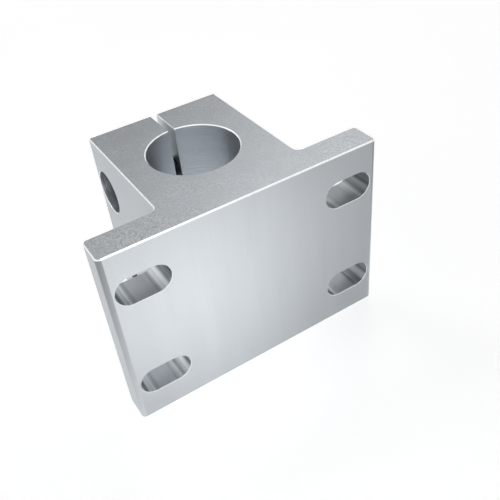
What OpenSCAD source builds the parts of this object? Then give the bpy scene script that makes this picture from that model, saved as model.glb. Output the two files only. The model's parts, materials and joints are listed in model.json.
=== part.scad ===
// Shaft support block: an aluminium T-section that clamps a round shaft and bolts
// to a flat surface through four slots. The block stands on one end of the shaft
// bore, so the shaft runs along Z. The origin is on the bore axis at mid length.
// The mounting face looks towards -Y. All sizes are in millimetres.

/* [Block] */
// Width of the base plate, across the mounting slots
base_w = 62; // [61:0.5:80]
// Thickness of the base plate
base_t = 7; // [5:0.5:10]
// Width of the head that surrounds the shaft
head_w = 32; // [26:0.5:32.5]
// Length of the block, along the shaft
block_l = 44; // [40:1:80]
// Radius on the four corners of the base plate
base_corner_r = 1; // [0.3:0.1:2]
// Radius on the two far corners of the head
head_corner_r = 0.3; // [0.3:0.1:0.8]
// Radius of the fillets between the head and the base plate
root_fillet_r = 1.5; // [0.4:0.1:1.9]
// Edge break around the outline of both end faces
edge_break = 0.3; // [0.1:0.05:0.3]

/* [Shaft bore] */
// Diameter of the shaft, and of the bore that holds it
shaft_d = 20; // [12:0.5:25]
// Height of the shaft's axis over the mounting face
centre_height = 22; // [21:0.5:40]
// Chamfer at both rims of the bore
bore_chamfer = 0.4; // [0.1:0.1:1]
// Width of the clamping slit
slit_w = 1.5; // [1:0.1:3]

/* [Mounting slots] */
// Distance between slot centres across the base plate
slot_pitch_x = 47.5; // [47:0.5:48.5]
// Distance between slot centres along the shaft
slot_pitch_z = 25; // [12:0.5:30]
// Width of a slot, a close fit for an M6 bolt
slot_w = 6.4; // [5:0.1:8]
// Length of a slot from end to end
slot_l = 11.5; // [9:0.1:11.8]

/* [Clamp screws] */
// Thread diameter of the clamp screws
screw_d = 5; // [4:0.5:6]
// Length of a clamp screw under its head
screw_l = 20; // [12:0.5:20]
// Distance between the two clamp screws, along the shaft
screw_pitch = 21; // [14:0.5:26]
// Distance from the bore wall to the axis of the clamp screws
screw_offset = 3.6; // [3.4:0.1:6]
// Diameter of a screw head
screw_head_d = 8.5; // [8:0.1:9.4]
// Height of a screw head
screw_head_h = 5; // [4:0.1:5.2]
// Hexagon socket in a screw head, across its flats
socket_flats = 4; // [3:0.5:5]
// Depth of the hexagon socket
socket_depth = 2.5; // [2:0.1:3.5]
// Diameter of a counterbore for a screw head
counterbore_d = 10; // [9.6:0.1:11]
// Metal between the floor of a counterbore and the slit
jaw_grip = 7.25; // [6:0.25:8]
// Metal left between a counterbore and the top of the head
top_wall = 0.4; // [0.3:0.1:3]
// Chamfer at the mouth of a tapped hole
mouth_chamfer = 0.4; // [0.1:0.1:0.8]

/* [Clearances] */
// Radial clearance of a screw's shank in its plain hole
shank_clearance = 0.25; // [0.1:0.05:0.4]
// Radial clearance of a screw's thread in its tapped hole
thread_clearance = 0.05; // [0.02:0.01:0.1]

/* [Hidden] */
$fn = 96;

// How far a cutting shape runs past the surface it cuts
overrun = 1;
edge_overrun = 0.1;
// Chamfers on the rim of a screw head and on the tip of its shank
head_chamfer = 0.5;
tip_chamfer = 0.6;

shaft_r = shaft_d / 2;
mount_y = -centre_height;
base_top_y = mount_y + base_t;
screw_y = shaft_r + screw_offset;
head_top_y = screw_y + counterbore_d / 2 + top_wall;
half_l = block_l / 2;
seat_x = -slit_w / 2 - jaw_grip;

// A rectangle centred on X that stands on y = 0, with its corners rounded
module rounded_plate(w, h, r) {
    translate([-w / 2 + r, 0]) square([w - 2 * r, h]);
    translate([-w / 2, r]) square([w, h - 2 * r]);
    for (side = [-1, 1], y = [r, h - r])
        translate([side * (w / 2 - r), y]) circle(r = r);
}

// The fillet in the corner between the base plate and the head, on the +X side
module root_fillet() {
    translate([head_w / 2, base_top_y])
        difference() {
            translate([-root_fillet_r, -root_fillet_r]) square(2 * root_fillet_r);
            translate([root_fillet_r, root_fillet_r]) circle(r = root_fillet_r);
        }
}

// Outline of the block as seen along the shaft
module tee_section() {
    translate([0, mount_y]) rounded_plate(base_w, base_t, base_corner_r);
    translate([0, mount_y + base_t / 2])
        rounded_plate(head_w, head_top_y - mount_y - base_t / 2, head_corner_r);
    root_fillet();
    mirror([1, 0]) root_fillet();
}

// Section of an edge break: it removes the corner at the origin of a face that
// lies on x < 0 and a wall that hangs below y = 0
module break_section() {
    polygon([
        [-edge_break, 0],
        [-edge_break, edge_overrun],
        [edge_overrun, edge_overrun],
        [edge_overrun, -edge_break],
        [0, -edge_break]
    ]);
}

// Edge break along a straight side that starts at a point and runs at an angle,
// with the block on the left of the way it runs
module side_break(start, angle, length) {
    translate(start) rotate(angle) rotate([90, 0, 90])
        linear_extrude(height = length) mirror([1, 0]) break_section();
}

// Edge break round an outer corner, over a quarter turn from an angle
module corner_break(centre, radius, angle) {
    translate(centre) rotate(angle)
        rotate_extrude(angle = 90) translate([radius, 0]) break_section();
}

// Edge break round the fillet at the foot of the head
module root_break(centre, angle) {
    translate(centre) rotate(angle)
        rotate_extrude(angle = 90)
            translate([root_fillet_r, 0]) mirror([1, 0]) break_section();
}

// Edge breaks on the +X half of the outline at z = 0
module half_outline_break() {
    half_base = base_w / 2;
    half_head = head_w / 2;
    side_break([-overrun, mount_y], 0, half_base - base_corner_r + overrun);
    corner_break([half_base - base_corner_r, mount_y + base_corner_r], base_corner_r, -90);
    side_break([half_base, mount_y + base_corner_r], 90, base_t - 2 * base_corner_r);
    corner_break([half_base - base_corner_r, base_top_y - base_corner_r], base_corner_r, 0);
    side_break(
        [half_base - base_corner_r, base_top_y],
        180,
        half_base - base_corner_r - half_head - root_fillet_r
    );
    root_break([half_head + root_fillet_r, base_top_y + root_fillet_r], 180);
    side_break(
        [half_head, base_top_y + root_fillet_r],
        90,
        head_top_y - head_corner_r - base_top_y - root_fillet_r
    );
    corner_break([half_head - head_corner_r, head_top_y - head_corner_r], head_corner_r, 0);
    side_break([half_head - head_corner_r, head_top_y], 180, half_head - head_corner_r + overrun);
}

// Edge breaks all round both end faces
module end_breaks() {
    for (end = [0, 1], side = [0, 1])
        mirror([0, 0, end]) mirror([side, 0, 0])
            translate([0, 0, half_l]) half_outline_break();
}

// Bore for the shaft, with a chamfer at both rims
module shaft_bore() {
    cylinder(h = block_l + 2 * overrun, r = shaft_r, center = true);
    for (end = [0, 1])
        mirror([0, 0, end])
            translate([0, 0, half_l - bore_chamfer])
                cylinder(
                    h = bore_chamfer + overrun,
                    r1 = shaft_r,
                    r2 = shaft_r + bore_chamfer + overrun
                );
}

// Slit from the bore out through the top of the head, which parts the two jaws
module clamp_slit() {
    translate([-slit_w / 2, 0, -half_l - overrun])
        cube([slit_w, head_top_y + overrun, block_l + 2 * overrun]);
}

// One mounting slot, cut through the base plate along Y
module mounting_slot() {
    depth = base_t + 2 * overrun;
    reach = (slot_l - slot_w) / 2;
    translate([0, mount_y - overrun, 0]) {
        for (side = [-1, 1])
            translate([side * reach, 0, 0])
                rotate([-90, 0, 0]) cylinder(h = depth, d = slot_w);
        translate([-reach, 0, -slot_w / 2]) cube([2 * reach, depth, slot_w]);
    }
}

// Counterbore, plain hole and tapped hole for one clamp screw, along +X
module screw_hole() {
    far_x = head_w / 2 + overrun;
    tap_r = screw_d / 2 + thread_clearance;
    translate([0, screw_y, 0])
        rotate([0, 90, 0]) {
            translate([0, 0, -far_x]) cylinder(h = far_x + seat_x, d = counterbore_d);
            translate([0, 0, seat_x - overrun])
                cylinder(h = overrun - seat_x, r = screw_d / 2 + shank_clearance);
            cylinder(h = far_x, r = tap_r);
            translate([0, 0, head_w / 2 - mouth_chamfer])
                cylinder(
                    h = mouth_chamfer + overrun,
                    r1 = tap_r,
                    r2 = tap_r + mouth_chamfer + overrun
                );
        }
}

// Socket head cap screw: its head sits on z = 0 and its shank points along -Z
module cap_screw() {
    difference() {
        union() {
            cylinder(h = screw_head_h - head_chamfer, d = screw_head_d);
            translate([0, 0, screw_head_h - head_chamfer])
                cylinder(
                    h = head_chamfer,
                    d1 = screw_head_d,
                    d2 = screw_head_d - 2 * head_chamfer
                );
        }
        translate([0, 0, screw_head_h - socket_depth])
            cylinder(h = socket_depth + overrun, d = socket_flats / cos(30), $fn = 6);
    }
    translate([0, 0, -screw_l + tip_chamfer])
        cylinder(h = screw_l - tip_chamfer, d = screw_d);
    translate([0, 0, -screw_l])
        cylinder(h = tip_chamfer, d1 = screw_d - 2 * tip_chamfer, d2 = screw_d);
}

// A clamp screw seated in its counterbore, at one height along the shaft
module seated_screw(z) {
    color([0.16, 0.16, 0.17])
        translate([seat_x, screw_y, z]) rotate([0, -90, 0]) cap_screw();
}

module clamp_screw_upper() {
    seated_screw(screw_pitch / 2);
}

module clamp_screw_lower() {
    seated_screw(-screw_pitch / 2);
}

module block() {
    color([0.76, 0.77, 0.79])
        difference() {
            translate([0, 0, -half_l]) linear_extrude(height = block_l) tee_section();
            end_breaks();
            shaft_bore();
            clamp_slit();
            for (x = [-1, 1], z = [-1, 1])
                translate([x * slot_pitch_x / 2, 0, z * slot_pitch_z / 2])
                    mounting_slot();
            for (z = [-1, 1])
                translate([0, 0, z * screw_pitch / 2]) screw_hole();
        }
}

block();
clamp_screw_upper();
clamp_screw_lower();
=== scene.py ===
# %% [markdown]
# # A shaft support block, dressed around its CAD model
#
# The object is one piece of aluminium: a T-shaped extrusion, cut to length, bored
# for a round shaft, slit so that it can grip, and drilled across for two clamp
# screws. The CAD model already holds every size and every place. This lesson adds
# what the eye expects of the real thing: crisp edge breaks, the grain of each
# machined face, cut threads and blackened screws.

import json
import math

import bmesh
import bpy
from mathutils import Matrix, Vector


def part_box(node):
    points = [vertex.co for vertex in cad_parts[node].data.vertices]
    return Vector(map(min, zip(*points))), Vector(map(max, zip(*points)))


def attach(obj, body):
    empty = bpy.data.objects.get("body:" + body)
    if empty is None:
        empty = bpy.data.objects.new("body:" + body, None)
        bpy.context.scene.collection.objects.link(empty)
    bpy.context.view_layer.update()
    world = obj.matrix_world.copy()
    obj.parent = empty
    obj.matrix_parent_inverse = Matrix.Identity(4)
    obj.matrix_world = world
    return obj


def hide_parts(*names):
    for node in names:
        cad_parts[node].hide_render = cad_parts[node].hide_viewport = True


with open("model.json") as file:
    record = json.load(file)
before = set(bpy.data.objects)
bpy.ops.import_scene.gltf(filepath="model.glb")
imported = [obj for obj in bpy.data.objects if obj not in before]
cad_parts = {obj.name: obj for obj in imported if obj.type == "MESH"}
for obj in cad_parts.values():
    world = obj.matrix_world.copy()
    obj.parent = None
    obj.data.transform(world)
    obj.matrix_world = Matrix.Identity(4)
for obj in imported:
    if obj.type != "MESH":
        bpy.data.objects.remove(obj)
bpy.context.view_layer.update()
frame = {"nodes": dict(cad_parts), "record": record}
print("frame nodes:", sorted(frame["nodes"]))

# %% [markdown]
# ## Sizes
#
# Everything that the frame can tell is read from it: the block's box, the bore,
# the slots and the screws. What it doesn't state, such as a plate's thickness or
# a radius, is named here once. Blender works in metres, so a millimetre is a
# constant.

# %% Sizes and places
MM = 0.001
mounts = {mount["name"]: mount for mount in frame["record"]["mounts"]}
slot_dims = mounts["mounting_slots"]["dims"]

block_lo, block_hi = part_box("block")
base_width = block_hi.x - block_lo.x
mount_y = block_lo.y
head_top = block_hi.y
half_length = block_hi.z

base_thickness = 7 * MM
base_top = mount_y + base_thickness
head_width = 32 * MM
base_corner = 1.0 * MM
head_corner = 0.3 * MM
root_fillet = 1.5 * MM

bore_radius = mounts["shaft_bore"]["dims"]["r_mm"] * MM
slit_width = 1.5 * MM

slot_width = 2 * slot_dims["hole_r_mm"] * MM
slot_length = slot_dims["slot_length_mm"] * MM
slot_pitch_x = slot_dims["spacing_x_mm"] * MM
slot_pitch_z = slot_dims["spacing_y_mm"] * MM

screw_lo, screw_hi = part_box("clamp_screw_upper")
screw_y = (screw_lo.y + screw_hi.y) / 2
screw_z = (screw_lo.z + screw_hi.z) / 2
head_radius = (screw_hi.y - screw_lo.y) / 2
head_height = 5 * MM
seat_x = screw_lo.x + head_height
thread_radius = 2.5 * MM
thread_pitch = 0.8 * MM
thread_depth = 0.45 * MM
counterbore_radius = 5 * MM
plain_hole_radius = 2.75 * MM
tapped_radius = 2.55 * MM

print("block", [round(v / MM, 2) for v in block_hi - block_lo], "mm")
print("screw axis at y, z =", round(screw_y / MM, 2), round(screw_z / MM, 2), "mm")

# %% [markdown]
# ## Camera
#
# The block stands on one end of its bore. The camera looks down on it from the
# front left, close enough for a strong perspective, and leans a few degrees.
# A camera that aims at a point is turned by a quaternion: one that tracks the
# aim, then a roll about its own line of sight.

# %% Make the camera
camera_place = Vector((-49.87, -112.57, 93.85)) * MM
camera_aim = Vector((6.34, -8.31, -3.63)) * MM
camera_roll = math.radians(6.41)

camera_data = bpy.data.cameras.new("camera")
camera_data.sensor_width = 36
camera_data.lens = 48.25
camera_data.clip_start = 0.01
camera_data.clip_end = 20
camera = bpy.data.objects.new("camera", camera_data)
bpy.context.scene.collection.objects.link(camera)
bpy.context.scene.camera = camera

line_of_sight = (camera_aim - camera_place).normalized()
camera.rotation_mode = "QUATERNION"
lean = Matrix.Rotation(camera_roll, 3, line_of_sight).to_quaternion()
camera.rotation_quaternion = lean @ line_of_sight.to_track_quat("-Z", "Y")
camera.location = camera_place
print("camera is", round((camera_aim - camera_place).length / MM), "mm away")

# %% [markdown]
# ## Writing shaders as expressions
#
# A shader is a graph, and graphs are slow to read as code. A small class wraps an
# output socket, so that Python's own operators add Math nodes: `1 - mask * 0.5`
# is then one line. Every other node comes from one method.

# %% A socket that answers to operators
class Wire:
    """An output socket of a node tree. Operators on it add Math nodes."""

    def __init__(self, tree, socket=None):
        self.tree = tree
        self.socket = socket

    def node(self, kind, settings=None, inputs=None, out=0):
        """Adds a node, with its settings first, and gives one of its outputs."""
        made = self.tree.nodes.new(kind)
        for name, value in (settings or {}).items():
            setattr(made, name, value)
        for name, value in (inputs or {}).items():
            if isinstance(value, Wire):
                self.tree.links.new(value.socket, made.inputs[name])
            else:
                made.inputs[name].default_value = value
        return Wire(self.tree, made.outputs[out])

    def math(self, operation, *values):
        """Adds a Math node that works on numbers, sockets or both."""
        return self.node("ShaderNodeMath", {"operation": operation}, dict(enumerate(values)))

    def feed(self, node, name):
        """Links this socket to a socket of a node that is already there."""
        self.tree.links.new(self.socket, node.inputs[name])

    def __add__(self, other):
        return self.math("ADD", self, other)

    __radd__ = __add__

    def __mul__(self, other):
        return self.math("MULTIPLY", self, other)

    __rmul__ = __mul__

    def __sub__(self, other):
        return self.math("SUBTRACT", self, other)

    def __rsub__(self, other):
        return self.math("SUBTRACT", other, self)

    def __truediv__(self, other):
        return self.math("DIVIDE", self, other)

    def clamped(self):
        """The same value, held between 0 and 1."""
        return self.math("MINIMUM", self.math("MAXIMUM", self, 0), 1)

    def length(self):
        """The length of a vector."""
        return self.node("ShaderNodeVectorMath", {"operation": "LENGTH"}, {0: self}, out="Value")


def tone(value):
    """A neutral grey as a colour."""
    return (value, value, value, 1)


print("operators ready")

# %% [markdown]
# ## Studio
#
# Bare metal shows its surroundings more than its own colour, so the room matters.
# The backdrop is white to the camera and to reflections, while the light that it
# sheds on the object stays modest. The floor is pale and keeps the object's
# shadow. It glows for the camera and for reflections too, more so far out, where
# it melts into the backdrop. Area lamps do the modelling.

# %% World: white to look at, modest as a light
AMBIENT = 0.18


def rays(wire, *kinds):
    """For each kind of ray, a value that is 1 when such a ray looks, and 0 otherwise."""
    path = wire.tree.nodes.new("ShaderNodeLightPath")
    return [Wire(wire.tree, path.outputs[kind]) for kind in kinds]


world = bpy.data.worlds.new("studio")
bpy.context.scene.world = world
world.use_nodes = True
background = world.node_tree.nodes["Background"]
background.inputs["Color"].default_value = tone(1)
room = Wire(world.node_tree)
seen, mirrored, carried = rays(room, "Is Camera Ray", "Is Glossy Ray", "Is Transmission Ray")
shown = (seen + mirrored + carried).clamped()
(AMBIENT + shown * (1 - AMBIENT)).feed(background, "Strength")
print("world has", len(room.tree.nodes), "nodes")


# %% Helpers for objects and materials
def link_new(name, mesh):
    """An object for a mesh, or for a lamp's data, in the scene."""
    made = bpy.data.objects.new(name, mesh)
    bpy.context.scene.collection.objects.link(made)
    return made


def new_material(name):
    """A material with its empty tree, ready for expressions."""
    material = bpy.data.materials.new(name)
    material.use_nodes = True
    return material, Wire(material.node_tree), material.node_tree.nodes["Principled BSDF"]


def grey(wire, value, tint=(1, 1, 1)):
    """A number as a colour, tinted by a factor for each channel."""
    parts = {0: value * tint[0], 1: value * tint[1], 2: value * tint[2]}
    return wire.node("ShaderNodeCombineColor", inputs=parts)


def object_place(wire):
    """The place on the object, in metres. It stays put when the object moves."""
    return wire.node("ShaderNodeTexCoord", out="Object")


print("helpers ready")

# %% Floor: pale, with the object's shadow on it
HALF_FLOOR = 3.0
NEAR_GLOW = 0.68
FAR_GLOW = 0.86
GLOW_FROM = 60 * MM
GLOW_TO = 360 * MM

floor_mesh = bpy.data.meshes.new("floor")
corners = [(-1, -1), (1, -1), (1, 1), (-1, 1)]
floor_mesh.from_pydata(
    [(x * HALF_FLOOR, y * HALF_FLOOR, block_lo.z) for x, y in corners], [], [range(4)]
)
floor = link_new("floor", floor_mesh)
floor_paint, wire, principled = new_material("floor_paint")
principled.inputs["Base Color"].default_value = tone(0.8)
principled.inputs["Roughness"].default_value = 0.9
principled.inputs["Specular IOR Level"].default_value = 0
principled.inputs["Emission Strength"].default_value = 1
seen, mirrored = rays(wire, "Is Camera Ray", "Is Glossy Ray")
reach = ((object_place(wire).length() - GLOW_FROM) / (GLOW_TO - GLOW_FROM)).clamped()
glow = NEAR_GLOW + reach * (FAR_GLOW - NEAR_GLOW)
grey(wire, (seen + mirrored).clamped() * glow).feed(principled, "Emission Color")
floor_mesh.materials.append(floor_paint)
print("floor at z =", round(block_lo.z / MM, 2), "mm")

# %% Lamps: two gridded keys on the mounting face, and soft ones round it
GRIDDED = 18
NARROW = 50
OPEN = 180


def soft_lamp(name, place, aim, size, watts, spread):
    """A square area lamp, turned towards a point. A small spread acts as a grid."""
    data = bpy.data.lights.new(name, "AREA")
    data.size = size
    data.energy = watts
    data.spread = math.radians(spread)
    lamp = link_new(name, data)
    lamp.location = place
    lamp.rotation_euler = (Vector(aim) - Vector(place)).to_track_quat("-Z", "Y").to_euler()
    return lamp


lamps = [
    soft_lamp("key", (-0.05, -0.26, 0.005), (-0.014, mount_y, 0.005), 0.045, 0.0081, GRIDDED),
    soft_lamp("left_key", (-0.10, -0.24, 0.025), (-0.016, mount_y, 0), 0.045, 0.0024, GRIDDED),
    soft_lamp("left", (-0.35, 0.06, 0.10), (0, 0, 0), 0.30, 0.08, OPEN),
    soft_lamp("back_right", (0.24, 0.28, 0.36), (0, 0, half_length), 0.20, 0.028, NARROW),
    soft_lamp("back_left", (-0.12, 0.33, 0.40), (0, 0, half_length), 0.20, 0.025, NARROW),
    soft_lamp("top", (0, 0.02, 0.50), (0, 0, 0), 0.30, 0.17, OPEN),
]
print("lamps:", ", ".join(lamp.name for lamp in lamps))

# %% [markdown]
# ## Finishes
#
# Every face of the block tells how it was made. The long faces come from the
# extrusion die and are anodised to a smooth satin. The two ends are sawn and
# blasted, which leaves a fine sandy grain. The bore is turned, the slots are
# milled, the cross holes are drilled, and every edge has a bright break. Each of
# these is a material of its own on one mesh, because the aluminium is one piece.
#
# A picture of metal could be wrapped round the block, but it would show seams.
# Noise has none, and keeps its scale on every face. It is stretched the way the
# tool ran, and moves the tone, the gloss and the relief together, as on real
# metal. Its scale is in grains per metre, so 5000 is a streak 0.2 mm wide. A tone
# is the share of light that the metal gives back. On the ends, the slots and the
# foot's corners the tone also carries painted shade: it darkens slowly from one
# side of the block to the other.


# %% Patterns that the finishes share
def coordinate(wire, axis):
    """How far along X, Y or Z a place on the object is."""
    return wire.node("ShaderNodeSeparateXYZ", inputs={0: object_place(wire)}, out=axis)


def stretched(wire, scale):
    """Object coordinates, scaled by a different amount along each axis."""
    return wire.node("ShaderNodeMapping", inputs={"Vector": object_place(wire), "Scale": scale})


def noise(wire, place, scale=1.0, detail=2.0, roughness=0.5):
    """A cloudy pattern between 0 and 1."""
    return wire.node(
        "ShaderNodeTexNoise",
        inputs={"Vector": place, "Scale": scale, "Detail": detail, "Roughness": roughness},
    )


def around(middle, pattern, spread):
    """A value that follows a pattern, over a spread that is centred on the middle."""
    return middle + (pattern - 0.5) * spread


print("patterns ready")

# %% What every metal finish does, and how it is kept
ALUMINIUM_TINT = (0.95, 1.0, 1.05)
FINISHES = []


def metal(wire, principled, value, roughness, metallic, tint=ALUMINIUM_TINT):
    """Feeds a tone and a roughness to the shader, and sets how metallic it is."""
    grey(wire, value, tint).feed(principled, "Base Color")
    roughness.feed(principled, "Roughness")
    principled.inputs["Metallic"].default_value = metallic


def bump(wire, height, depth, principled):
    """Raises the shading of a surface by a height field, depth metres at 1."""
    normal = wire.node("ShaderNodeBump", inputs={"Height": height, "Distance": depth})
    normal.feed(principled, "Normal")


def kept_finish(paint):
    """Makes a material with a function's name. The name then stands for the material."""
    material, wire, principled = new_material(paint.__name__)
    paint(wire, principled)
    FINISHES.append(material)
    print(material.name, "has", len(wire.tree.nodes), "nodes")
    return material


# %% Satin extrusion
DIE_STREAKS = (5000, 5000, 60)


@kept_finish
def satin_extrusion(wire, principled):
    streaks = noise(wire, stretched(wire, DIE_STREAKS))
    clouds = noise(wire, object_place(wire), scale=70)
    value = around(around(0.57, streaks, 0.05), clouds, 0.05)
    metal(wire, principled, value, roughness=around(0.48, streaks, 0.12), metallic=0.85)
    bump(wire, streaks, 0.004 * MM, principled)


# %% Milled mounting face
@kept_finish
def milled_foot(wire, principled):
    passes = noise(wire, stretched(wire, (260, 260, 30)))
    fine = noise(wire, stretched(wire, (3000, 3000, 40)))
    value = around(around(0.545, passes, 0.05), fine, 0.04)
    metal(wire, principled, value, roughness=around(0.48, fine, 0.08), metallic=0.55)
    bump(wire, fine, 0.002 * MM, principled)


# %% Foot corner: satin streaks with painted shade, darker towards its upper end
@kept_finish
def extruded_corner(wire, principled):
    streaks = noise(wire, stretched(wire, DIE_STREAKS))
    level = coordinate(wire, "Z") / half_length
    # Painted shade: the tone falls from about the satin's at the lower end to under half of it at
    # the upper end.
    value = around(0.44 - level * 0.17, streaks, 0.08)
    metal(wire, principled, value, roughness=around(0.36, streaks, 0.10), metallic=0.85)
    bump(wire, streaks, 0.004 * MM, principled)


# %% Sawn and blasted end: coarse in patches, and calmer near the bore
CALM_TO = 20 * MM
COARSE_FROM = 32 * MM
CALM = 0.45


@kept_finish
def blasted_end(wire, principled):
    grain = noise(wire, object_place(wire), scale=3200, roughness=0.7)
    patches = noise(wire, object_place(wire), scale=160, detail=3)
    from_axis = stretched(wire, (1, 1, 0)).length()
    outward = ((from_axis - CALM_TO) / (COARSE_FROM - CALM_TO)).clamped()
    coarse = around(0.6, patches, 1.6) * (CALM + outward * (1 - CALM))
    # Painted shade: the ends darken towards the top of the head and lighten towards the foot.
    level = coordinate(wire, "Y") / head_top
    value = around(0.305 - level * 0.04, patches, 0.06)
    value = around(value, grain, coarse).clamped()
    metal(wire, principled, value, roughness=around(0.42, grain, 0.3), metallic=0.8)
    bump(wire, grain, 0.03 * MM, principled)


# %% Turned bore
@kept_finish
def turned_bore(wire, principled):
    rings = noise(wire, stretched(wire, (40, 40, 8000)))
    clouds = noise(wire, object_place(wire), scale=120)
    value = around(around(0.87, rings, 0.12), clouds, 0.06)
    roughness = around(0.22, rings, 0.08)
    metal(wire, principled, value, roughness, metallic=0.9, tint=(0.97, 1.0, 1.03))
    bump(wire, rings, 0.03 * MM, principled)


# %% Milled slot wall: the cutter chatters only where it turns
CHATTER_FROM = 0.7
CHATTER_FULL = 1.2
CHATTER_CONTRAST = 4
FINE_RELIEF = 0.03


@kept_finish
def milled_slot(wire, principled):
    column = coordinate(wire, "X") / (slot_pitch_x / 2)
    row = coordinate(wire, "Z") / (slot_pitch_z / 2)
    off_centre = wire.math("ABSOLUTE", wire.math("ABSOLUTE", column) - 1) * (slot_pitch_x / 2)
    along = off_centre / ((slot_length - slot_width) / 2)
    round_end = ((along - CHATTER_FROM) / (CHATTER_FULL - CHATTER_FROM)).clamped()
    chatter = (noise(wire, stretched(wire, (700, 20, 700)), detail=1) - 0.5) * round_end
    fine = noise(wire, stretched(wire, (4000, 400, 4000)))
    # Painted shade: the walls darken towards the right-hand slots (+X) and the upper ones (+Z).
    value = (0.48 - column * 0.06 - row * 0.05) * (1 + chatter * CHATTER_CONTRAST)
    value = around(value, fine, 0.12).clamped()
    metal(wire, principled, value, roughness=around(0.57, fine, 0.1), metallic=0.5)
    bump(wire, chatter + fine * FINE_RELIEF, 0.20 * MM, principled)


# %% Drilled and counterbored wall
@kept_finish
def drilled_wall(wire, principled):
    rings = noise(wire, stretched(wire, (6000, 80, 80)))
    value = around(0.66, rings, 0.2)
    metal(wire, principled, value, roughness=around(0.28, rings, 0.1), metallic=0.9)
    bump(wire, rings, 0.008 * MM, principled)


# %% Sawn slit wall
@kept_finish
def sawn_slit(wire, principled):
    strokes = noise(wire, stretched(wire, (100, 5000, 300)))
    value = around(0.60, strokes, 0.25)
    metal(wire, principled, value, roughness=around(0.38, strokes, 0.1), metallic=0.9)
    bump(wire, strokes, 0.01 * MM, principled)


# %% Bright edge break
@kept_finish
def bright_edge(wire, principled):
    nicks = noise(wire, object_place(wire), scale=2500)
    value = around(0.92, nicks, 0.12)
    roughness = around(0.28, nicks, 0.1)
    metal(wire, principled, value, roughness, metallic=0.9, tint=(0.98, 1.0, 1.02))
    bump(wire, nicks, 0.004 * MM, principled)


# %% [markdown]
# ## The block's outline
#
# Seen along the shaft, the bore is joined to the outside by the slit, so the whole
# section is one closed line: round the T, down one wall of the slit, round the
# bore and up the other wall. Drawing it as one line needs no cutting, and every
# stretch of it can carry its own finish and the width of its own edge break.


# %% Rounded corners
def rounded_path(corners, steps=10):
    """An open path through corners (x, y, radius), each rounded by a true arc."""
    path = []
    for index, (x, y, radius) in enumerate(corners):
        here = Vector((x, y))
        if radius == 0 or index in (0, len(corners) - 1):
            path.append(here)
            continue
        back = (Vector(corners[index - 1][:2]) - here).normalized()
        ahead = (Vector(corners[index + 1][:2]) - here).normalized()
        half_turn = back.angle(ahead) / 2
        centre = here + (back + ahead).normalized() * radius / math.sin(half_turn)
        first = here + back * radius / math.tan(half_turn) - centre
        sweep = first.angle_signed(here + ahead * radius / math.tan(half_turn) - centre)
        for step in range(steps + 1):
            path.append(centre + Matrix.Rotation(-sweep * step / steps, 2) @ first)
    return path


half_base = base_width / 2
half_head = head_width / 2
half_slit = slit_width / 2
outside = rounded_path([
    (-half_slit, head_top, 0),
    (-half_head, head_top, head_corner),
    (-half_head, base_top, root_fillet),
    (-half_base, base_top, base_corner),
    (-half_base, mount_y, base_corner),
    (half_base, mount_y, base_corner),
    (half_base, base_top, base_corner),
    (half_head, base_top, root_fillet),
    (half_head, head_top, head_corner),
    (half_slit, head_top, 0),
])
print("outside has", len(outside), "points")

# %% One closed line, with a finish and an edge break for each stretch
BORE_STEPS = 180
EDGE_DEPTH = 0.20 * MM
EDGE_BREAK = 0.22 * MM
FOOT_BREAK = 0.58 * MM
BORE_BREAK = 0.24 * MM
SLIT_BREAK = 0.10 * MM
HAIR = 1e-9

slit_angle = math.asin(half_slit / bore_radius)
bore_sweep = 2 * math.pi - 2 * slit_angle
bore_arc = []
for step in range(BORE_STEPS + 1):
    angle = math.pi / 2 - slit_angle - bore_sweep * step / BORE_STEPS
    bore_arc.append(bore_radius * Vector((math.cos(angle), math.sin(angle))))


def outside_finish(here, ahead):
    """The finish of the stretch between two neighbouring points of the outside."""
    if max(abs(here.y - mount_y), abs(ahead.y - mount_y)) < HAIR:
        return milled_foot
    middle = (here + ahead) / 2
    foot_corner = abs(middle.x) > half_base - base_corner and middle.y < mount_y + base_corner
    return extruded_corner if foot_corner else satin_extrusion


outline = []
for here, ahead in zip(outside, outside[1:]):
    finish = outside_finish(here, ahead)
    outline.append((here, finish, FOOT_BREAK if finish == milled_foot else EDGE_BREAK))
outline.append((outside[-1], sawn_slit, SLIT_BREAK))
outline += [(point, turned_bore, BORE_BREAK) for point in bore_arc[:-1]]
outline.append((bore_arc[-1], sawn_slit, SLIT_BREAK))
print("outline has", len(outline), "points")


# %% The same line, drawn in by the edge breaks
ALMOST_STRAIGHT = 0.98


def drawn_in(outline):
    """Each point moved into the metal, so that each side moves by its own break."""
    moved = []
    for index, (point, _, after) in enumerate(outline):
        before_point, _, before = outline[index - 1]
        after_point = outline[(index + 1) % len(outline)][0]
        side_in = (point - before_point).normalized()
        side_out = (after_point - point).normalized()
        normal_in = Vector((-side_in.y, side_in.x))
        normal_out = Vector((-side_out.y, side_out.x))
        if abs(normal_in.dot(normal_out)) > ALMOST_STRAIGHT:
            moved.append(point + (normal_in + normal_out).normalized() * (before + after) / 2)
        else:
            sides = Matrix((normal_in, normal_out))
            moved.append(point + sides.inverted() @ Vector((before, after)))
    return moved


inset = drawn_in(outline)
print("first point moves by", [round(v / MM, 3) for v in inset[0] - outline[0][0]], "mm")


# %% Extrude the line into the block
def new_mesh_object(name, work):
    """Turns a bmesh into an object at the origin."""
    mesh = bpy.data.meshes.new(name)
    work.to_mesh(mesh)
    work.free()
    return link_new(name, mesh)


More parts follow.
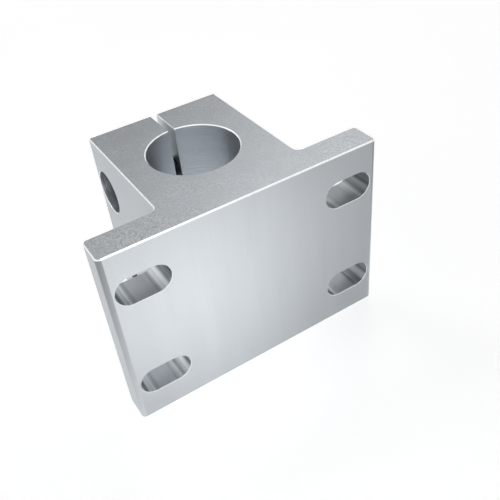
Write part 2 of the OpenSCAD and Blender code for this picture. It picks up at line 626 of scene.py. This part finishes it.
def extruded_block():
    """The section at four levels, so that both ends get an edge break."""
    work = bmesh.new()
    full = [point for point, _, _ in outline]
    levels = [
        (inset, -half_length),
        (full, -half_length + EDGE_DEPTH),
        (full, half_length - EDGE_DEPTH),
        (inset, half_length),
    ]
    rings = [[work.verts.new((p.x, p.y, z)) for p in points] for points, z in levels]
    for low, high in zip(rings, rings[1:]):
        wall = low is rings[1]
        for index, (_, finish, _) in enumerate(outline):
            ahead = (index + 1) % len(outline)
            face = work.faces.new((low[index], low[ahead], high[ahead], high[index]))
            face.material_index = FINISHES.index(finish if wall else bright_edge)
    caps = [work.faces.new(ring) for ring in (rings[0][::-1], rings[-1])]
    for cap in caps:
        cap.material_index = FINISHES.index(blasted_end)
    work.normal_update()
    bmesh.ops.triangulate(work, faces=caps)
    block = new_mesh_object("block_raw", work)
    for material in FINISHES:
        block.data.materials.append(material)
    return block


block_raw = extruded_block()
print("raw block has", len(block_raw.data.polygons), "faces")

# %% [markdown]
# ## Cutting the slots and the cross holes
#
# The slots take the bolts that hold the block down, and the cross holes take its
# clamp screws. The four slots are alike, and so are the two cross holes, so each
# shape is made once and a small Geometry Nodes tree sets copies of it on a grid. A
# Boolean modifier then subtracts them, and each cut wall keeps the material of the
# cutter that made it. A Bevel modifier could break the rims afterwards, but it
# would have to find them first. So the cutters flare where they leave the metal,
# and cut the small edge breaks themselves.


# %% Small helpers for Geometry Nodes
def new_tree(name, sockets):
    """A node group with named inputs. Gives the tree, a reader of inputs and the exit."""
    tree = bpy.data.node_groups.new(name, "GeometryNodeTree")
    for label, kind in sockets:
        tree.interface.new_socket(label, in_out="INPUT", socket_type=kind)
    tree.interface.new_socket("Geometry", in_out="OUTPUT", socket_type="NodeSocketGeometry")
    entry = tree.nodes.new("NodeGroupInput")
    leave = tree.nodes.new("NodeGroupOutput")
    return Wire(tree), lambda label: Wire(tree, entry.outputs[label]), leave


def grown(tree, name, values):
    """Runs a tree with values for its inputs, and keeps the result as a plain mesh."""
    carrier = link_new(name, bpy.data.meshes.new(name))
    modifier = carrier.modifiers.new("grow", "NODES")
    modifier.node_group = tree
    for item in tree.interface.items_tree:
        if item.in_out == "INPUT" and item.name in values:
            modifier[item.identifier] = values[item.name]
    return baked(carrier)


def baked(thing):
    """Applies every modifier of an object."""
    graph = bpy.context.evaluated_depsgraph_get()
    mesh = bpy.data.meshes.new_from_object(thing.evaluated_get(graph), depsgraph=graph)
    mesh.name = thing.name
    thing.modifiers.clear()
    thing.data = mesh
    return thing


FLOAT, INT = "NodeSocketFloat", "NodeSocketInt"
VECTOR, THING, STUFF = "NodeSocketVector", "NodeSocketObject", "NodeSocketMaterial"
print("helpers ready")


# %% A tree that sets one cutter on a grid in X and Z
FLARE_LEAN = 0.7
LEAN_MARGIN = 0.1


def cutter_grid_tree():
    """Copies of a cutter. Its faces that lean 45 degrees from its axis are its flares."""
    wire, given, leave = new_tree(
        "cutter_grid",
        [
            ("Cutter", THING),
            ("Count X", INT),
            ("Count Z", INT),
            ("Pitch X", FLOAT),
            ("Pitch Z", FLOAT),
            ("Axis", VECTOR),
            ("Wall Material", STUFF),
            ("Rim Material", STUFF),
        ],
    )
    size_x = (given("Count X") - 1) * given("Pitch X")
    size_z = (given("Count Z") - 1) * given("Pitch Z")
    grid = wire.node(
        "GeometryNodeMeshGrid",
        inputs={
            "Size X": size_x,
            "Size Y": size_z,
            "Vertices X": given("Count X"),
            "Vertices Y": given("Count Z"),
        },
    )
    upright = wire.node(
        "GeometryNodeTransform",
        inputs={"Geometry": grid, "Rotation": (math.radians(90), 0, 0)},
    )
    shape = wire.node("GeometryNodeObjectInfo", inputs={"Object": given("Cutter")}, out="Geometry")
    copies = wire.node(
        "GeometryNodeInstanceOnPoints", inputs={"Points": upright, "Instance": shape}
    )
    solid = wire.node("GeometryNodeRealizeInstances", inputs={"Geometry": copies})
    walled = wire.node(
        "GeometryNodeSetMaterial", inputs={"Geometry": solid, "Material": given("Wall Material")}
    )
    lean = wire.node(
        "ShaderNodeVectorMath",
        {"operation": "DOT_PRODUCT"},
        {0: wire.node("GeometryNodeInputNormal"), 1: given("Axis")},
        out="Value",
    )
    flare = wire.math("COMPARE", wire.math("ABSOLUTE", lean), FLARE_LEAN, LEAN_MARGIN)
    rimmed = wire.node(
        "GeometryNodeSetMaterial",
        inputs={"Geometry": walled, "Selection": flare, "Material": given("Rim Material")},
    )
    rimmed.feed(leave, "Geometry")
    return wire.tree


cutter_grid = cutter_grid_tree()
print("cutter grid has", len(cutter_grid.nodes), "nodes")

# %% One slot cutter: an obround that flares at both faces of the plate
FRONT_BREAK = 0.08 * MM
BACK_BREAK = 0.03 * MM
OVERRUN = 0.3 * MM


def obround(half_reach, radius, steps=28):
    """Points round a slot in X and Z, with two half circles as its ends."""
    points = []
    for side, start in ((1, -90), (-1, 90)):
        for step in range(steps + 1):
            angle = math.radians(start + 180 * step / steps)
            x = side * half_reach + radius * math.cos(angle)
            points.append((x, radius * math.sin(angle)))
    return points


def slot_cutter():
    """A tool for one slot, through the plate and a little past both faces."""
    work = bmesh.new()
    levels = [
        (mount_y - OVERRUN, FRONT_BREAK + OVERRUN),
        (mount_y + FRONT_BREAK, 0),
        (base_top - BACK_BREAK, 0),
        (base_top + OVERRUN, BACK_BREAK + OVERRUN),
    ]
    reach = (slot_length - slot_width) / 2
    rings = []
    for y, growth in levels:
        ring = obround(reach, slot_width / 2 + growth)
        rings.append([work.verts.new((x, y, z)) for x, z in ring])
    for low, high in zip(rings, rings[1:]):
        for index in range(len(low)):
            ahead = (index + 1) % len(low)
            work.faces.new((low[index], low[ahead], high[ahead], high[index]))
    work.faces.new(rings[0])
    work.faces.new(rings[-1])
    bmesh.ops.recalc_face_normals(work, faces=work.faces)
    return new_mesh_object("slot_cutter", work)


slot_tool = slot_cutter()
slot_cuts = grown(cutter_grid, "slot_cuts", {
    "Cutter": slot_tool,
    "Count X": 2,
    "Count Z": 2,
    "Pitch X": slot_pitch_x,
    "Pitch Z": slot_pitch_z,
    "Axis": (0.0, 1.0, 0.0),
    "Wall Material": milled_slot,
    "Rim Material": bright_edge,
})
print("slot cuts have", len(slot_cuts.data.polygons), "faces")


# %% One cross hole cutter, turned about the screw's axis
def turned(name, profile, segments=96):
    """A closed solid turned about the screw's axis, from points (x, radius)."""
    work = bmesh.new()
    rings = []
    for x, radius in profile:
        if radius == 0:
            rings.append([work.verts.new((x, screw_y, 0))])
            continue
        angles = [2 * math.pi * step / segments for step in range(segments)]
        rings.append([
            work.verts.new((x, screw_y + radius * math.cos(a), radius * math.sin(a)))
            for a in angles
        ])
    for low, high in zip(rings, rings[1:]):
        for step in range(segments):
            ahead = (step + 1) % segments
            corners = [low[step % len(low)], low[ahead % len(low)]]
            corners += [high[ahead % len(high)], high[step % len(high)]]
            work.faces.new(list(dict.fromkeys(corners)))
    bmesh.ops.recalc_face_normals(work, faces=work.faces)
    return new_mesh_object(name, work)


def at_both_screws(name, cutter, wall, rim):
    """A cross hole's cutter, at the height of each screw."""
    return grown(cutter_grid, name, {
        "Cutter": cutter,
        "Count X": 1,
        "Count Z": 2,
        "Pitch X": 0.0,
        "Pitch Z": 2 * screw_z,
        "Axis": (1.0, 0.0, 0.0),
        "Wall Material": wall,
        "Rim Material": rim,
    })


MOUTH_BREAK = 0.12 * MM
hole_tool = turned("hole_tool", [
    (-half_head - OVERRUN, 0),
    (-half_head - OVERRUN, counterbore_radius + MOUTH_BREAK + OVERRUN),
    (-half_head + MOUTH_BREAK, counterbore_radius),
    (seat_x, counterbore_radius),
    (seat_x, plain_hole_radius),
    (0, plain_hole_radius),
    (0, 0),
])
hole_cuts = at_both_screws("hole_cuts", hole_tool, drilled_wall, bright_edge)
print("hole cuts have", len(hole_cuts.data.polygons), "faces")

# %% [markdown]
# ## Threads
#
# A thread could be a profile swept along a helix, but its ends would have to be
# closed and joined to a core. It is also a cylinder whose radius rises and falls
# with the turn and the advance along the axis. As a rule in Geometry Nodes that is
# one field, the fraction of a pitch at each point, and the mesh stays closed. The
# same tree makes the screws' shanks and, a hair larger, the tap that cuts the
# holes, so that the two mesh with a little clearance.


# %% How a tree for a part of the screw ends
def along_the_screw(wire, given, leave, shape, middle):
    """Turns a shape from Z to X, sets it on the screw's axis and paints it."""
    solid = wire.node("GeometryNodeRealizeInstances", inputs={"Geometry": shape})
    centre = wire.node("ShaderNodeCombineXYZ", inputs={0: middle, 1: screw_y, 2: 0.0})
    laid = wire.node(
        "GeometryNodeTransform",
        inputs={"Geometry": solid, "Translation": centre, "Rotation": (0, math.radians(90), 0)},
    )
    painted = wire.node(
        "GeometryNodeSetMaterial", inputs={"Geometry": laid, "Material": given("Material")}
    )
    painted.feed(leave, "Geometry")
    return wire.tree


print("screw's axis at y =", round(screw_y / MM, 2), "mm")

# %% A tree for a threaded rod along X
GROOVE_SHARE = 0.2
FLANK_SHARE = 0.65


def threaded_rod_tree():
    """A rod whose radius follows the thread. The shares are those of half a pitch."""
    wire, given, leave = new_tree(
        "threaded_rod",
        [
            ("From X", FLOAT),
            ("To X", FLOAT),
            ("Radius", FLOAT),
            ("Pitch", FLOAT),
            ("Depth", FLOAT),
            ("Taper", FLOAT),
            ("Around", INT),
            ("Along", INT),
            ("Material", STUFF),
        ],
    )
    length = given("To X") - given("From X")
    middle = (given("To X") + given("From X")) * 0.5
    rod = wire.node(
        "GeometryNodeMeshCylinder",
        inputs={
            "Vertices": given("Around"),
            "Side Segments": given("Along"),
            "Radius": given("Radius"),
            "Depth": length,
        },
    )
    place = wire.node("GeometryNodeInputPosition")
    x, y, z = (wire.node("ShaderNodeSeparateXYZ", inputs={0: place}, out=axis) for axis in "XYZ")
    advance = (z + middle) / given("Pitch")
    turn = wire.math("ARCTAN2", y, x) / (2 * math.pi)
    phase = wire.math("FRACT", advance - turn)
    ramp = 1 - wire.math("ABSOLUTE", phase * 2 - 1)
    ridge = ((ramp - GROOVE_SHARE) / FLANK_SHARE).clamped()
    groove = (1 - ridge) * given("Depth")
    tip = wire.math("MAXIMUM", given("Taper") - (length * 0.5 - z), 0)
    factor = wire.math("MINIMUM", 1 - groove / given("Radius"), 1 - tip / given("Radius"))
    shaped = wire.node("ShaderNodeCombineXYZ", inputs={0: x * factor, 1: y * factor, 2: z})
    cut = wire.node("GeometryNodeSetPosition", inputs={"Geometry": rod, "Position": shaped})
    return along_the_screw(wire, given, leave, cut, middle)


threaded_rod = threaded_rod_tree()
print("threaded rod has", len(threaded_rod.nodes), "nodes")

# %% The tap that cuts the threaded holes
THREAD_SIDES = 56
THREAD_STEPS = 12
MOUTH_DEPTH = 0.4 * MM
MOUTH_INSIDE = 0.2 * MM
tap_from = -0.21 * MM
tap_to = half_head + OVERRUN
tap_tool = grown(threaded_rod, "tap_tool", {
    "From X": tap_from,
    "To X": tap_to,
    "Radius": tapped_radius,
    "Pitch": thread_pitch,
    "Depth": thread_depth,
    "Taper": 0.0,
    "Around": THREAD_SIDES,
    "Along": round((tap_to - tap_from) / thread_pitch * THREAD_STEPS),
    "Material": drilled_wall,
})
tap_cuts = at_both_screws("tap_cuts", tap_tool, drilled_wall, drilled_wall)
mouth_tool = turned("mouth_tool", [
    (half_head - MOUTH_DEPTH, 0),
    (half_head - MOUTH_DEPTH, tapped_radius - MOUTH_INSIDE),
    (half_head + OVERRUN, tapped_radius + MOUTH_DEPTH + OVERRUN),
    (half_head + OVERRUN, 0),
])
mouth_cuts = at_both_screws("mouth_cuts", mouth_tool, bright_edge, bright_edge)
print("tap cuts have", len(tap_cuts.data.polygons), "faces")


# %% Subtract the cutters and smooth the shading
def combine(operation, thing, *others):
    """Cuts or unites by Boolean modifiers. Each wall keeps its own material."""
    for other in others:
        modifier = thing.modifiers.new(other.name, "BOOLEAN")
        modifier.operation = operation
        modifier.solver = "MANIFOLD"
        modifier.material_mode = "TRANSFER"
        modifier.object = other
    baked(thing)


CRUMB = 0.0001 * MM


def smoothed(thing, angle=math.radians(25)):
    """Smooth shading that breaks at real edges, once the cuts' crumbs are merged."""
    mesh = thing.data
    mesh.shade_smooth()
    work = bmesh.new()
    work.from_mesh(mesh)
    bmesh.ops.dissolve_degenerate(work, dist=CRUMB, edges=work.edges)
    for edge in work.edges:
        edge.smooth = len(edge.link_faces) == 2 and edge.calc_face_angle(0) < angle
    work.to_mesh(mesh)
    work.free()
    modifier = thing.modifiers.new("weights", "WEIGHTED_NORMAL")
    modifier.keep_sharp = True
    return baked(thing)


combine("DIFFERENCE", block_raw, slot_cuts, hole_cuts, tap_cuts, mouth_cuts)
support = smoothed(block_raw)
support.name = "support_block"
support.data.name = "support_block"
tools = (slot_tool, hole_tool, tap_tool, mouth_tool)
for thing in (*tools, slot_cuts, hole_cuts, tap_cuts, mouth_cuts):
    bpy.data.objects.remove(thing)
print("block has", len(support.data.polygons), "faces")
print("block has", len(support.data.materials), "finishes")

# %% [markdown]
# ## Clamp screws
#
# Two socket head cap screws close the slit. Their heads sit at the bottom of the
# counterbores. A head is turned, its hexagon socket is cut, and a ring of small
# ribs gives it the knurl that fingers need. The knurl could be bump in the
# material, but the head's outline would stay smooth, so the ribs are real. The
# shank is the threaded rod again. All of it is united into one closed mesh,
# because a screw is one piece of steel.


# %% Black oxide
@kept_finish
def black_oxide(wire, principled):
    bloom = noise(wire, object_place(wire), scale=900, detail=3)
    value = around(0.06, bloom, 0.03)
    roughness = around(0.30, bloom, 0.2)
    metal(wire, principled, value, roughness, metallic=0.7, tint=(1.0, 1.0, 1.06))
    bump(wire, bloom, 0.006 * MM, principled)


# %% A tree for the knurl: ribs round a cylinder
KNURL_DEPTH = 0.14 * MM


def knurl_tree():
    """Ribs of four sides each, half sunk into the head."""
    wire, given, leave = new_tree(
        "knurl",
        [
            ("Ribs", INT),
            ("Radius", FLOAT),
            ("Rib Radius", FLOAT),
            ("Length", FLOAT),
            ("Centre X", FLOAT),
            ("Material", STUFF),
        ],
    )
    ring = wire.node(
        "GeometryNodeMeshCircle", inputs={"Vertices": given("Ribs"), "Radius": given("Radius")}
    )
    rib = wire.node(
        "GeometryNodeMeshCylinder",
        inputs={"Vertices": 4, "Radius": given("Rib Radius"), "Depth": given("Length")},
    )
    turn = wire.node("GeometryNodeInputIndex") / given("Ribs") * (2 * math.pi)
    facing = wire.node("ShaderNodeCombineXYZ", inputs={2: turn})
    ribs = wire.node(
        "GeometryNodeInstanceOnPoints",
        inputs={"Points": ring, "Instance": rib, "Rotation": facing},
    )
    return along_the_screw(wire, given, leave, ribs, given("Centre X"))


knurl = knurl_tree()
print("knurl has", len(knurl.nodes), "nodes")

# %% Head and socket of one screw
SOCKET_FLATS = 4 * MM
SOCKET_DEPTH = 2.5 * MM
HEAD_CHAMFER = 0.45 * MM
FOOT_CHAMFER = 0.15 * MM
SOCKET_POINT = 1.25
RIM_BREAK = 0.25 * MM
head_face = screw_lo.x
body_radius = head_radius - KNURL_DEPTH

screw_head = turned("screw_head", [
    (head_face, 0),
    (head_face, head_radius - HEAD_CHAMFER - KNURL_DEPTH),
    (head_face + HEAD_CHAMFER, body_radius),
    (seat_x - FOOT_CHAMFER, body_radius),
    (seat_x, body_radius - FOOT_CHAMFER),
    (seat_x, 0),
])
socket_radius = SOCKET_FLATS / math.sqrt(3)
socket_tool = turned("socket_tool", [
    (head_face - OVERRUN, 0),
    (head_face - OVERRUN, socket_radius),
    (head_face + SOCKET_DEPTH, socket_radius),
    (head_face + SOCKET_DEPTH * SOCKET_POINT, 0),
], segments=6)
rim_tool = turned("rim_tool", [
    (head_face - OVERRUN, 0),
    (head_face - OVERRUN, socket_radius + OVERRUN),
    (head_face + RIM_BREAK, socket_radius - RIM_BREAK),
    (head_face + RIM_BREAK, 0),
])
for thing in (screw_head, socket_tool, rim_tool):
    thing.data.materials.append(black_oxide)
combine("DIFFERENCE", screw_head, socket_tool, rim_tool)
print("head has", len(screw_head.data.polygons), "faces")

# %% Knurl and shank
KNURL_RIBS = 44
BARE_BAND = 0.9 * MM
SHANK_ROOT = 0.2 * MM
TIP_TAPER = 0.6 * MM

ribs = grown(knurl, "ribs", {
    "Ribs": KNURL_RIBS,
    "Radius": body_radius,
    "Rib Radius": KNURL_DEPTH,
    "Length": head_height - HEAD_CHAMFER - BARE_BAND,
    "Centre X": (head_face + HEAD_CHAMFER + seat_x - BARE_BAND) / 2,
    "Material": black_oxide,
})
shank = grown(threaded_rod, "shank", {
    "From X": seat_x - SHANK_ROOT,
    "To X": screw_hi.x,
    "Radius": thread_radius,
    "Pitch": thread_pitch,
    "Depth": thread_depth,
    "Taper": TIP_TAPER,
    "Around": THREAD_SIDES,
    "Along": round((screw_hi.x - seat_x) / thread_pitch * THREAD_STEPS),
    "Material": black_oxide,
})
print("shank has", len(shank.data.polygons), "faces")


# %% Unite the parts and set one screw in each hole
combine("UNION", screw_head, ribs, shank)
screw = smoothed(screw_head)
screws = []
for level, z in (("upper", screw_z), ("lower", -screw_z)):
    mesh = screw.data.copy()
    mesh.transform(Matrix.Translation((0, 0, z)))
    screws.append(link_new("cap_screw_" + level, mesh))
for tool in (screw, socket_tool, rim_tool, ribs, shank):
    bpy.data.objects.remove(tool)
print("screws:", [thing.name for thing in screws])

# %% [markdown]
# ## Handing over to the frame
#
# The dressed block and screws stand for their CAD nodes, and all ride on the one
# body that a part without joints has.

# %% Say what stands for what
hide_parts("block")
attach(support, "root")
for thing, level in zip(screws, ("upper", "lower")):
    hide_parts("clamp_screw_" + level)
    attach(thing, "root")
print("pieces:", [support.name] + [thing.name for thing in screws])

# %% Colour management stays plain
bpy.context.scene.view_settings.view_transform = "Standard"
